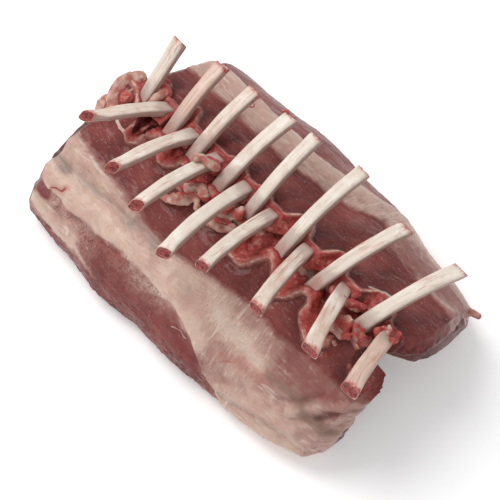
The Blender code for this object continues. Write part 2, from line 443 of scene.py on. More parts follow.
# %% Read each loin into named numbers
def study(rack):
    piece = LOINS[rack]
    points, normals = read_points(piece)
    x, angle, radius = on_bend(rack, points)
    away, ridgeward = facing(rack, angle, normals)
    marks = dict(points=points, normals=normals, x=x, angle=angle, radius=radius)
    marks["below_top"] = (angle - band_edge(BAND_TOP, rack, x)) * MM_PER_DEGREE
    marks["above_foot"] = (band_edge(BAND_FOOT, rack, x) - angle) * MM_PER_DEGREE
    end_wall = smooth_step(0.45, 0.8, abs(normals[:, 0])) * (abs(x) > 0.6 * abs(x).max())
    marks["end"] = soften(piece, end_wall, 2)
    back = smooth_step(0.1, 0.5, away) * (1 - end_wall)
    marks["back"] = soften(piece, back, 2)
    hollow = smooth_step(0.1, 0.5, -away) * (1 - end_wall) * (points[:, 2] > 2)
    marks["hollow"] = soften(piece, hollow, 2)
    marks["cut"] = soften(piece, cut_share(x, angle, radius, away) * (1 - end_wall), 1)
    marks["from_rim"] = rim_distance(points, marks["cut"], away)
    marks["base"] = smooth_step(0.5, 0.9, -normals[:, 2]) * (points[:, 2] < 4)

    reach = 8.0
    trees = rib_trees(rack)
    near_top = angle < 62
    gap = np.full(len(x), reach)
    gap[near_top] = [1000 * gap_to_ribs(trees, point / 1000, reach / 1000)
                     for point in map(Vector, points[near_top])]
    marks["rib_gap"] = gap

    depth = np.full(len(x), 30.0)
    fill = np.full(len(x), 0.5)
    for sign in (-1, 1):
        edge = (sign * x).max()
        chosen = sign * x > edge - 16
        angles, inner, outer = end_profile(angle, radius, chosen & (sign * x < edge - 5))
        inside = np.interp(angle, angles, inner)
        outside = np.interp(angle, angles, outer)
        depth = np.where(chosen, outside - radius, depth)
        fill = np.where(chosen, (radius - inside) / (outside - inside), fill)
    marks["depth"] = depth
    marks["fill"] = fill
    marks["sheet"] = np.stack([x, angle * MM_PER_DEGREE, 0 * x], axis=1)
    return marks


MARKS = {rack: study(rack) for rack in SIDES}
for rack in SIDES:
    print(rack, "cut edge points:", int((MARKS[rack]["cut"] > 0.5).sum()),
          "end points:", int((MARKS[rack]["end"] > 0.5).sum()))

# %% [markdown]
# ## Strokes of fat, film and blood
# Within the bands, a real rack has marks of its own: a raised ridge of fat, a grey trough, a nick
# with blood in it, creases near the trimmed corner; the grey in the trough and the dark in the
# creases are painted shade. Each is a brush stroke along a short line of (x, angle) points. A stroke
# adds to a channel: "cover" is how thick the fat or film lies (0 bare muscle, 0.5 film, 1 cream fat),
# "grey", "brown", "blush", "plum" and "white" tint it, the darkening channel holds both darker
# muscle and painted shade, and "raise" lifts the skin in mm.

# %% Lines that the strokes follow
LINES = {
    "near": {
        "fat_ridge": ((-100, 70), (-92, 69.5), (-72, 70), (-48, 68.5), (-24, 67.5), (2, 67)),
        "upper_ridge": ((-98, 61), (-82, 62), (-62, 61.5), (-44, 61)),
        "ridge_shade": ((-70, 74.5), (-52, 72.5), (-36, 70.5)),
        "white_patch": ((24, 64), (38, 64.5), (52, 66.5)),
        "white_patch_2": ((10, 62), (20, 62.5)),
        "pearl_patch": ((44, 72), (60, 73.5), (72, 73)),
        "cream_lobe": ((-8, 67), (6, 68.5), (16, 70.5), (24, 73)),
        "film_greyer": ((66, 60), (80, 62), (96, 63)),
        "trough": ((-96, 66), (-82, 66), (-62, 65), (-39, 63), (-20, 63)),
        "bruise": ((-99, 68), (-93, 66.5), (-87, 66)),
        "nick": ((-88, 73), (-80, 71), (-79, 69.5)),
        "red_corner": ((-102, 75), (-97, 71)),
        "plum_spot": ((-101, 77), (-96, 75), (-89, 75)),
        "bead": ((-90, 73),),
        "rim_fleck": ((-95, 79),),
        "low_bead": ((-68, 78),),
        "low_film": ((-97, 80), (-88, 79), (-76, 80), (-64, 79)),
        "low_line": ((-94, 79), (-76, 82), (-59, 80), (-46, 81), (-35, 83), (-22, 86), (4, 88)),
        "trimmings": ((-80, 87), (-60, 84), (-40, 86), (-20, 90), (10, 93)),
        "red_below_ridge": ((-50, 72), (-40, 71.5), (-30, 71)),
        "dark_muscle": ((-40, 80), (-15, 82), (10, 80), (25, 81)),
        "grey_seam": ((14, 76), (27, 78.5), (38, 83)),
        "thread_1": ((-9, 74), (-6, 77), (-3, 80)),
        "thread_2": ((7, 75), (13, 73.5), (18, 74.5)),
        "thread_3": ((-46, 75), (-38, 77), (-30, 76)),
        "blood_line": ((35, 77), (36, 74), (39, 71.5), (44, 69.5)),
        "blood_hair": ((6, 71), (6, 68), (10, 66)),
        "rose_patch": ((30, 73), (34, 75)),
        "blush_spot": ((36, 71), (44, 69), (52, 70), (60, 69)),
        "grey_oval": ((30, 69), (34, 70), (38, 71)),
        "cream_upper": ((18, 62), (35, 62), (50, 63)),
        "film_upper": ((62, 58), (80, 60), (100, 60)),
        "brown_patch_1": ((59, 67), (70, 66), (79, 66)),
        "brown_patch_2": ((85, 69), (91, 68.5), (99, 71)),
        "rose_fold": ((80, 64), (92, 57)),
        "pale_fold": ((78, 71), (82, 68), (87, 64), (95, 59), (102, 56)),
        "crease": ((90, 67), (97, 61.5), (100, 59), (103, 57)),
        "crease_2": ((72, 70), (80, 66), (86, 61)),
        "wet_corner": ((97, 66), (100, 62), (102, 60)),
        "lip_line": ((45, 83.5), (54, 82), (64, 80.5), (74, 79.5), (85, 79.5), (92, 82)),
        "lip": ((36, 89), (53, 86), (70, 84), (86, 83.5)),
        "lip_shade": ((44, 77), (56, 76), (69, 75)),
        "lip_roll": ((44, 80), (58, 78), (74, 76), (84, 75)),
        "blush_lines": ((57, 80), (67, 79), (76, 76)),
        "corner_lump": ((94, 84),),
        "red_by_last_rib": ((99, 48), (103, 51)),
        # a painted highlight: a white glint on the wet meat by the last rib
        "painted_glint_speck": ((97, 47),),
        "white_seam": ((-84, 47.5), (-80, 49.2), (-75, 49.5), (-70, 47.5)),
    },
    "far": {
        "fat_ridge": ((-98, 62), (-60, 63), (-30, 62), (0, 64), (24, 70)),
        "inner_grey": ((-80, 56), (-40, 57), (0, 59)),
        "outer_strip": ((-80, 73), (-40, 71), (-5, 72), (20, 77)),
        "thread_1": ((-50, 66), (-44, 70), (-38, 75)),
        "thread_2": ((-30, 66), (-22, 71)),
        "red_area": ((12, 55), (31, 59), (40, 64)),
        "plum_spot": ((32, 58), (40, 60)),
        "film": ((52, 66), (70, 66), (90, 68)),
        "film_edge": ((50, 60), (72, 59), (90, 60), (97, 63)),
        "outer_folds": ((48, 75), (60, 74), (70, 73), (84, 74)),
        "white_curve": ((64, 43), (70, 46), (77, 48)),
        "yellow_vein": ((88, 58), (92, 61), (98, 66)),
        "yellow_vein_2": ((80, 59), (84, 62), (86, 65)),
        "grey_corner": ((92, 64), (98, 66)),
    },
}

# %% The strokes: line, channel, amount, half width in mm
STROKES = {
    "near": (
        ("fat_ridge", "raise", 2.5, 4.2), ("fat_ridge", "cover", 0.34, 5.5), ("fat_ridge", "smooth", 0.8, 5.0),
        ("fat_ridge", "blush", 0.14, 5.0), ("upper_ridge", "raise", 1.3, 3.4), ("upper_ridge", "cover", 0.16, 3.4),
        # the trough's grey is painted shade in the groove
        ("trough", "raise", -2.0, 2.6), ("trough", "grey", 0.55, 3.0), ("bruise", "grey", 0.22, 2.2),
        ("ridge_shade", "dark", 0.30, 1.6), ("ridge_shade", "raise", -1.0, 1.6),
        ("nick", "raise", -0.9, 0.7), ("nick", "blood", 0.75, 0.5), ("nick", "blush", 0.4, 2.6),
        ("red_corner", "cover", -1.0, 3.2), ("red_corner", "blush", 0.35, 3.2),
        ("plum_spot", "cover", -0.9, 2.0), ("plum_spot", "plum", 0.9, 2.2), ("plum_spot", "raise", -0.4, 2.5),
        ("bead", "white", 0.8, 1.3), ("rim_fleck", "white", 0.7, 1.6), ("low_bead", "white", 0.9, 1.0),
        ("low_bead", "raise", 0.5, 1.0),
        ("low_film", "cover", 0.5, 4.5), ("low_film", "grey", 0.3, 4.0), ("low_film", "netted", -1.0, 5.5),
        ("low_line", "cover", 0.55, 1.5), ("low_line", "raise", -0.5, 1.2), ("low_line", "brown", 0.3, 1.6),
        ("trimmings", "blush", 0.15, 4.0), ("trimmings", "brown", 0.2, 5.0), ("trimmings", "raise", 0.5, 3.0),
        ("red_below_ridge", "blush", 0.35, 2.4), ("red_below_ridge", "cover", -0.2, 2.4),
        ("dark_muscle", "cover", -0.7, 7.0), ("dark_muscle", "dark", 0.12, 7.0),
        ("grey_seam", "plum", 0.4, 2.4), ("grey_seam", "cover", 0.3, 2.2), ("grey_seam", "raise", -0.6, 1.8),
        ("thread_1", "white", 0.35, 0.6), ("thread_2", "white", 0.5, 0.6), ("thread_3", "white", 0.3, 0.6),
        ("blood_line", "blood", 0.42, 0.5), ("blood_hair", "blood", 0.34, 0.45),
        ("rose_patch", "blush", 0.22, 5.0), ("blush_spot", "blush", 0.32, 3.0),
        ("grey_oval", "grey", 0.35, 4.0),
        ("white_patch", "cover", 0.55, 4.5), ("white_patch", "white", 0.40, 4.5),
        ("white_patch_2", "cover", 0.34, 4.0), ("white_patch_2", "white", 0.25, 4.0),
        ("cream_lobe", "cover", 0.55, 3.6), ("cream_lobe", "raise", 1.3, 3.4), ("cream_lobe", "blush", 0.1, 4.0), ("cream_lobe", "smooth", 0.7, 4.0),
        ("pearl_patch", "grey", 0.22, 5.0), ("pearl_patch", "cover", 0.12, 5.0), ("pearl_patch", "smooth", 0.9, 7.0), ("pearl_patch", "raise", 0.7, 5.0),
        ("pearl_patch", "blush", 0.15, 6.0), ("film_greyer", "grey", 0.35, 5.0),
        ("film_upper", "plum", 0.5, 8.0), ("film_upper", "cover", -0.08, 8.0),
        ("brown_patch_1", "brown", 0.6, 4.0), ("brown_patch_2", "brown", 0.8, 5.0),
        ("brown_patch_2", "grey", 0.55, 5.0), ("brown_patch_1", "grey", 0.4, 4.0),
        ("brown_patch_2", "dark", 0.22, 5.0), ("brown_patch_1", "dark", 0.12, 4.0),
        ("rose_fold", "blush", 0.35, 3.6), ("pale_fold", "raise", 1.7, 2.4), ("pale_fold", "cover", 0.25, 2.4),
        # the creases are also darkened: painted shade in them
        ("crease", "raise", -1.8, 1.6), ("crease", "dark", 0.5, 1.4), ("crease_2", "raise", -1.3, 2.2),
        ("crease_2", "dark", 0.22, 1.8),
        ("wet_corner", "white", 0.35, 3.0),
        ("lip_line", "raise", -1.5, 1.3), ("lip_line", "white", 1.1, 0.9), ("lip", "raise", 1.6, 4.0),
        ("lip", "cover", 0.42, 5.5), ("lip", "blush", 0.22, 6.0), ("lip", "smooth", 0.9, 7.0),
        ("lip_roll", "cover", 0.25, 3.0), ("lip_roll", "raise", 1.4, 3.0), ("lip_roll", "smooth", 0.8, 5.0),
        ("lip_shade", "brown", 0.3, 3.0), ("blush_lines", "blush", 0.3, 2.2),
        ("corner_lump", "raise", 1.6, 3.0), ("corner_lump", "white", 0.3, 2.0),
        ("red_by_last_rib", "blush", 0.25, 4.0), ("red_by_last_rib", "cover", -0.6, 5.0),
        # a painted highlight: the glint by the last rib
        ("painted_glint_speck", "white", 0.45, 0.8),
        ("white_seam", "white", 1.1, 0.7), ("white_seam", "raise", 0.8, 0.9),
    ),
    "far": (
        ("fat_ridge", "raise", 0.9, 5.0), ("fat_ridge", "cover", 0.12, 4.0), ("inner_grey", "grey", 0.3, 5.0),
        ("fat_ridge", "smooth", 0.8, 8.0),
        ("outer_strip", "cover", 0.08, 5.0), ("outer_strip", "blush", 0.22, 8.0),
        ("thread_1", "white", 0.4, 0.6), ("thread_2", "white", 0.3, 0.6),
        ("red_area", "blush", 0.35, 5.0), ("plum_spot", "plum", 0.5, 4.0), ("plum_spot", "cover", 0.25, 3.5),
        ("film", "cover", -0.22, 9.0), ("film_edge", "raise", 0.5, 2.0), ("film_edge", "cover", 0.1, 2.0),
        ("outer_folds", "cover", 0.25, 3.0), ("outer_folds", "raise", 0.5, 2.0),
        ("white_curve", "white", 1.0, 0.7), ("white_curve", "raise", 0.6, 0.9),
        ("yellow_vein", "white", 0.3, 0.8), ("yellow_vein", "brown", 0.3, 0.8),
        ("yellow_vein_2", "white", 0.25, 0.8), ("grey_corner", "grey", 0.4, 4.0),
    ),
}
CHANNELS = ("cover", "grey", "brown", "blush", "blood", "plum", "white", "dark", "netted",
            "raise", "smooth")


# %% Lay the strokes
def distance_to_line(spots, line):
    """Distance in mm from spots (x, angle in mm) to a line of (x, angle in degrees) points."""
    corners = [np.array([x, angle * MM_PER_DEGREE]) for x, angle in line]
    nearest = np.full(len(spots), np.inf)
    for start, stop in zip(corners, corners[1:] or corners):
        along = stop - start
        share = np.clip((spots - start) @ along / max(along @ along, 1e-9), 0, 1)
        offset = spots - start - share[:, None] * along
        nearest = np.minimum(nearest, np.hypot(offset[:, 0], offset[:, 1]))
    return nearest


def lay_strokes(rack, marks):
    sheet = marks["sheet"]
    sway = [1.3 * lumps(sheet, (12, 7, 1), seed) + 0.5 * lumps(sheet, (3.5, 3, 1), seed + 1) for seed in (20, 30)]
    spots = sheet[:, :2] + np.stack(sway, axis=1)
    for channel in CHANNELS:
        marks[channel] = np.zeros(len(spots))
    for name, channel, amount, half_width in STROKES[rack]:
        distance = distance_to_line(spots, LINES[rack][name])
        marks[channel] += amount * np.exp(-(distance / half_width) ** 2)


def lay_bands(rack, marks):
    """The plain cover of each band, under the strokes."""
    x, angle = marks["x"], marks["angle"]
    sway = 1.1 * lumps(marks["sheet"], (9, 6, 1), 3) + 0.4 * lumps(marks["sheet"], (3, 3, 1), 4)
    top, foot = marks["below_top"] + sway, marks["above_foot"] + sway
    band = smooth_step(-1.5, 3.0, top) * smooth_step(-0.8, 0.8, foot)
    loin = smooth_step(0.8, -0.8, foot)
    if rack == "near":
        filmy_top = smooth_step(68, 62, angle) * smooth_step(10, -30, x)
        full = 0.80 - 0.22 * filmy_top - 0.30 * smooth_step(6, 34, x)
        full -= 0.14 * smooth_step(48, 66, x) * smooth_step(72, 62, angle)
        veiled = loin * smooth_step(87, 78, angle) * smooth_step(24, -14, x)
    else:
        full = 0.62 - 0.16 * smooth_step(40, 60, x)
        veiled = 0 * x
    marks["cover"] += band * full + 0.33 * veiled
    marks["band"] = band
    marks["loin"] = loin
    marks["netted"] = np.clip(marks["netted"] + veiled, 0, 1)
    marks["above_band"] = smooth_step(1.0, -1.5, top)


for rack, marks in MARKS.items():
    lay_strokes(rack, marks)
    lay_bands(rack, marks)
    print(rack, "strokes:", len(STROKES[rack]), "mean cover %.2f" % marks["cover"].mean())

# %% [markdown]
# ## Relief of the meat
# Raw meat is never smooth: muscles bulge between seams, fat lies on top as a thicker layer
# with a rounded edge, film wrinkles along the grain, and a knife leaves a dished cut with
# raised rims. All of it is moved along the normals here, in mm. Only what is finer
# than the skin's faces is left to the materials.

# %% Move the skin
EYE_ANGLE = 75.0              # where the eye of the loin shows on a cut end
EYE_HALF_LENGTH = 16.0
EYE_HALF_FILL = 0.34


def eye_share(marks):
    """1 in the middle of the eye muscle of a cut end, 0 at its seam and less outside."""
    along = (marks["angle"] - EYE_ANGLE) * np.radians(1) * marks["radius"] / EYE_HALF_LENGTH
    return 1 - np.hypot(along, (marks["fill"] - 0.5) / EYE_HALF_FILL)


def ridged(values):
    """Turns smooth noise into sharp creases: 0 on a crease, up to 1 between creases."""
    return np.sqrt(np.abs(values) + 0.001)


def lip_width(rack, marks):
    """The cut edge of the near rack rolls outwards in a red strip; the far one is thin."""
    width = {"near": 3.2, "far": 0.9}[rack] * (1 + 0.45 * lumps(marks["points"], 7, 51))
    return width * smooth_step(88, 70, marks["x"]) + 0.3


def relief(rack, marks):
    points, x, sheet = marks["points"], marks["x"], marks["sheet"]
    back, end, cut, loin = marks["back"], marks["end"], marks["cut"], marks["loin"]
    rough = 1 - np.clip(marks["smooth"], 0, 1)

    height = back * (0.6 * lumps(points, 30, 1) + 0.35 * lumps(points, 11, 2))
    height += back * marks["raise"]
    height += back * 0.9 * np.clip(marks["cover"], 0, 1)

    along = ridged(lumps(sheet, (15, 2.2, 1), 5)) * smooth_step(10, -20, x)
    cross = ridged(lumps(sheet, (2.3, 13, 1), 6)) * smooth_step(0, 20, x) * smooth_step(64, 50, x)
    streaky = ridged(lumps(sheet, (18, 3.0, 1), 16)) * smooth_step(52, 66, x)
    height += back * marks["band"] * rough * (0.48 * along + 0.36 * cross + 0.18 * streaky)

    strip = back * marks["above_band"]
    slanted = sheet @ np.array([[1, 0.22, 0], [-0.22, 1, 0], [0, 0, 1]]).T
    height += strip * (0.22 * lumps(slanted, (10, 2.2, 1), 7) + 0.10 * lumps(slanted, (4, 1.1, 1), 17))

    height += loin * back * (0.5 * lumps(sheet, (16, 9, 1), 8) + 0.12 * lumps(sheet, (4, 2, 1), 18) - 0.4)

    rim = marks["from_rim"]
    lip = smooth_step(marks["lip_width"] + 1.0, marks["lip_width"] - 0.4, rim)
    under = (1 - cut) * back * smooth_step(9.0, 5.0, rim) * (1 - lip)
    height += 0.9 * lip * (1 + 0.5 * lumps(points, 4, 19)) - 1.2 * under
    height += cut * (0.30 * lumps(points, 3.2, 9) + 0.18 * lumps(points, 1.6, 29) - 0.5)

    collar = hump(marks["rib_gap"], 0.6, 1.6) * (1 - smooth_step(4, 7, marks["rib_gap"]))
    height += 0.6 * collar * (1 + 0.6 * lumps(points, 3, 10))

    eye = eye_share(marks) * EYE_HALF_LENGTH
    height += end * (0.4 * lumps(points, 3.5, 11) - 0.55)
    height += end * (0.5 * smooth_step(0, 5, eye) - 0.5 * hump(eye, 0, 0.9))

    height += marks["hollow"] * (0.4 * lumps(points, 14, 12) - 0.2)
    foot = back * smooth_step(74, 86, marks["angle"])
    height -= foot * (0.5 + 1.1 * np.abs(lumps(points, (3.5, 3.5, 2.5), 61)))
    height *= 1 - marks["base"]
    return points + marks["normals"] * height[:, None]


for rack, piece in LOINS.items():
    MARKS[rack]["lip_width"] = lip_width(rack, MARKS[rack])
    write_points(piece, relief(rack, MARKS[rack]))
    select_only(piece)
    bpy.ops.object.shade_smooth()
    print(piece.name, "box", [round(v * 1000, 1) for v in piece.dimensions])

# %% Keep the marks for the material
PAINT_MARKS = ("cover", "grey", "brown", "blush", "blood", "plum", "white", "dark", "smooth",
               "fresh", "rim", "end", "torn", "netted", "lined", "eye", "depth", "hollow", "socket", "cross", "strip", "low")

for rack, piece in LOINS.items():
    marks = MARKS[rack]
    rolled = marks["back"] * smooth_step(marks["lip_width"] + 0.3, marks["lip_width"] - 0.5, marks["from_rim"])
    trimmed = smooth_step(93, 84, marks["x"])
    marks["fresh"] = np.maximum(marks["cut"], rolled) * (0.25 + 0.75 * trimmed)
    pale_line = np.abs(marks["from_rim"] - np.where(marks["cut"] > 0.5, -9, marks["lip_width"]))
    marks["rim"] = (RIM_REACH - pale_line) * trimmed
    marks["eye"] = eye_share(marks) * EYE_HALF_LENGTH
    marks["torn"] = smooth_step(0, 20, marks["x"])
    wrapped = {"near": 16.5, "far": 7.5}[rack] + 3 * lumps(marks["points"], 6, 71)
    skin_over = marks["torn"] * smooth_step(wrapped + 3.5, wrapped - 3.5, marks["depth"])
    if rack == "near":
        over_end = marks["end"] * skin_over * smooth_step(50, 60, marks["angle"])
        marks["cover"] = np.maximum(marks["cover"], 0.5 * over_end)
    marks["end"] = marks["end"] * (1 - skin_over)
    marks["socket"] = smooth_step(1.8, 0.4, marks["rib_gap"])
    marks["cross"] = smooth_step(0, 22, marks["x"]) * smooth_step(62, 50, marks["x"])
    fan = hump(marks["x"], 34, 32) * hump(marks["angle"], 64.5, 8)
    marks["lined"] = np.clip(0.6 * marks["band"] + fan, 0, 1) if rack == "near" else 0.2 * marks["band"]
    marks["strip"] = marks["above_band"] * marks["back"]
    marks["low"] = smooth_step(80, 92, marks["angle"])
    # painted shade just below the rim of the cut edge, and the strip of muscle made a little darker
    shade_under_rim = (1 - marks["cut"]) * (1 - rolled) * marks["back"] * smooth_step(9.0, 2.5, marks["from_rim"])
    marks["dark"] += 0.6 * shade_under_rim + 0.12 * marks["strip"]
    keep_grain(piece, marks["x"], marks["sheet"][:, 1])
    keep_numbers(piece, **{name: marks[name] for name in PAINT_MARKS})


# %% [markdown]
# ## Raw lamb: muscle, fat, silverskin
# Lamb muscle is a dark, slightly purple red. Fat is pale cream to pink and takes the red of
# what lies under it where it is thin. Silverskin and film are thin grey veils. All of it is
# wet, so a clear coat lies over everything. The recipe is a table of patterns, each with the
# real size of its lumps or threads, and tables of thin coats, each with the pattern that says
# where it shows.

# %% Patterns and coats
def patterns(tree, rows):
    """Noise from 0 to 1 for each row: name, size in mm (one number in the round, or along and
    across the grain), detail, roughness and distortion."""
    place = add(tree, "TexCoord", output="Object")
    grain = add(tree, "UVMap", uv_map="grain")
    values = {}
    for number, (name, size, detail, rough, bend) in enumerate(rows):
        start = (7.1 * number, 3.3 * number, 1.7 * number)
        if isinstance(size, tuple):
            spot = add(tree, "Mapping", {"Vector": grain, "Location": start, "Scale": (1 / size[0], 1 / size[1], 1)})
        else:
            spot = add(tree, "Mapping", {"Vector": place, "Location": start, "Scale": (1000 / size,) * 3})
        values[name] = add(tree, "TexNoise", {"Vector": spot, "Scale": 1.0, "Detail": detail,
                                              "Roughness": rough, "Distortion": bend})
    return values


def combine(tree, values, rows):
    """New values from old ones, for each row: name, operation, and its two or three inputs."""
    for name, operation, *inputs in rows:
        sockets = {i: values.get(item, item) for i, item in enumerate(inputs)}
        values[name] = add(tree, "Math", sockets, operation=operation)


def coats(tree, values, under, rows):
    """Thin coats over one another, for each row: colour, the value that says where it shows, the
    value's low and high ends, and the strength of the coat."""
    for paint, where, low, high, strength in rows:
        share = add(tree, "MapRange", {0: values[where], 1: low, 2: high, 4: strength},
                    interpolation_type="SMOOTHSTEP")
        over = values[paint] if paint in values else colour(paint)
        under = add(tree, "Mix", {0: share, 6: under, 7: over}, output=2, data_type="RGBA")
    return under


# %% Raw lamb: recipe
MEAT_PATTERNS = (
    # name, size in mm, detail, roughness, distortion
    ("mottle", 14, 3, 0.5, 0.0),
    ("patches", 5, 4, 0.6, 0.3),
    ("grit", 1.3, 3, 0.65, 0.0),
    ("wet", 2.6, 4, 0.6, 0.0),
    ("fibres", (7.0, 0.7), 3, 0.6, 0.6),
    ("streaks", (3.6, 0.36), 2, 0.5, 1.2),
    ("flecks", (1.3, 0.7), 2, 0.5, 0.0),
    ("along", (11.0, 1.6), 3, 0.6, 0.8),
    ("vein_noise", (9.0, 5.0), 4, 0.62, 0.6),
    ("net_noise", (2.4, 4.2), 3, 0.6, 0.9),
    ("sinew", 3.2, 4, 0.65, 1.0),
)
MEAT_SUMS = (
    # name, operation, inputs
    ("cover_1", "MULTIPLY_ADD", "patches", 0.55, "cover"),
    ("cover_2", "MULTIPLY_ADD", "wrinkles", 0.30, "cover_1"),
    ("vein_1", "SUBTRACT", "vein_noise", 0.5),
    ("vein", "ABSOLUTE", "vein_1"),
    ("net_1", "SUBTRACT", "net_noise", 0.5),
    ("net", "ABSOLUTE", "net_1"),
    ("rim_edge", "MULTIPLY_ADD", "wet", 1.6, "rim"),
    ("fresh_edge", "MULTIPLY_ADD", "wet", 0.5, "fresh"),
    ("grey_edge", "MULTIPLY_ADD", "wrinkles", 0.6, "grey"),
    ("brown_edge", "MULTIPLY_ADD", "wrinkles", 0.5, "brown"),
    ("blush_edge", "MULTIPLY_ADD", "wet", 0.45, "blush"),
    ("blood_edge", "MULTIPLY_ADD", "grit", 0.5, "blood"),
    ("white_edge", "MULTIPLY_ADD", "grit", 0.5, "white"),
    ("plum_edge", "MULTIPLY_ADD", "patches", 0.4, "plum"),
    ("seam_1", "MULTIPLY_ADD", "patches", 9.0, "eye"),
    ("seam_2", "SUBTRACT", "seam_1", 4.5),
    ("seam_3", "ABSOLUTE", "seam_2"),
    ("seam_4", "MULTIPLY_ADD", "mottle", 4.0, "seam_3"),
    ("seam", "SUBTRACT", "seam_4", 1.9),
    ("seam_shown", "MULTIPLY_ADD", "torn", 9.0, "seam"),
    ("rind", "MULTIPLY_ADD", "patches", 4.0, "depth"),
    ("rind_shown", "MULTIPLY_ADD", "torn", 9.0, "rind"),
    # patterns for painted highlights: glints of wet fibres on the strip of muscle
    ("painted_glint_streaks", "MULTIPLY", "streaks", "strip"),
    ("painted_glint_flecks", "MULTIPLY", "flecks", "strip"),
)
MUSCLE_COATS = (
    # colour, where, low, high, strength
    ("#64302d", "mottle", 0.54, 0.30, 0.75),
    ("#96504a", "mottle", 0.50, 0.72, 0.8),
    ("#7a3b3c", "patches", 0.50, 0.66, 0.5),
    ("#6a2d2a", "fibres", 0.50, 0.34, 0.35),
    ("#a65a52", "fibres", 0.56, 0.74, 0.30),
    # painted highlights: pale streaks and flecks stand for glints on the wet fibres
    ("#b98379", "painted_glint_streaks", 0.62, 0.72, 0.40),
    ("#d8b9b0", "painted_glint_flecks", 0.66, 0.73, 0.55),
    # painted shade: the muscle is coloured darker towards the foot of each rack
    ("#74332f", "low", 0.2, 1.0, 0.6),
)
COVER_COATS = (
    ("#98625a", "cover_2", 0.46, 0.68, 0.85),
    ("#b48d82", "cover_2", 0.68, 0.92, 0.9),
    ("#caa898", "cover_2", 0.92, 1.10, 0.95),
    ("#d8bba9", "cover_2", 1.08, 1.34, 0.95),
)
FAT_COATS = (
    ("#c4948a", "mottle", 0.48, 0.68, 0.50),
    ("#b99c8e", "vein_noise", 0.50, 0.34, 0.45),
    ("#e3d2c4", "wrinkles", 0.54, 0.70, 0.55),
    # dark lines drawn along the creases of the fat's wrinkles: painted shade in the creases
    ("#97705f", "fine_lines", 0.0, 0.022, 0.6),
    ("#b9766a", "vein", 0.009, 0.002, 0.35),
)
FRESH_COATS = (
    ("#8f322f", "wet", 0.46, 0.32, 0.8),
    ("#c8746a", "wet", 0.52, 0.70, 0.8),
    ("#cf9486", "patches", 0.56, 0.68, 0.7),
    ("#dba79b", "grit", 0.60, 0.72, 0.6),
)
END_COATS = (
    ("#4d2120", "sinew", 0.50, 0.36, 0.9),
    ("#8e4740", "sinew", 0.55, 0.70, 0.6),
    # painted highlights: pale specks stand for the wet sparkle on the cut ends
    ("#c3a093", "grit", 0.63, 0.73, 0.5),
    ("#a97c70", "seam_shown", 1.1, 0.2, 0.6),
    ("#cdab9b", "rind_shown", 4.4, 3.2, 0.8),
)
TINT_COATS = (
    ("#847571", "grey_edge", 0.55, 1.15, 0.8),
    ("#8d6a58", "brown_edge", 0.45, 1.15, 0.75),
    ("#8a4b4c", "plum_edge", 0.40, 1.10, 0.8),
    ("#b0594e", "blush_edge", 0.35, 1.05, 0.85),
    ("#6a3330", "net_cracks", 0.004, 0.026, 0.75),
    # the darkening channel: darker muscle, and painted shade under the cut rim, in creases and on the lining
    ("#421615", "dark", 0.0, 1.0, 0.72),
    ("#9c2f2a", "blood_edge", 0.45, 0.85, 0.9),
    # pale marks: threads, beads and seams, and one painted highlight, the glint by the last rib
    ("#ddc9bb", "white_edge", 0.45, 0.90, 0.9),
)


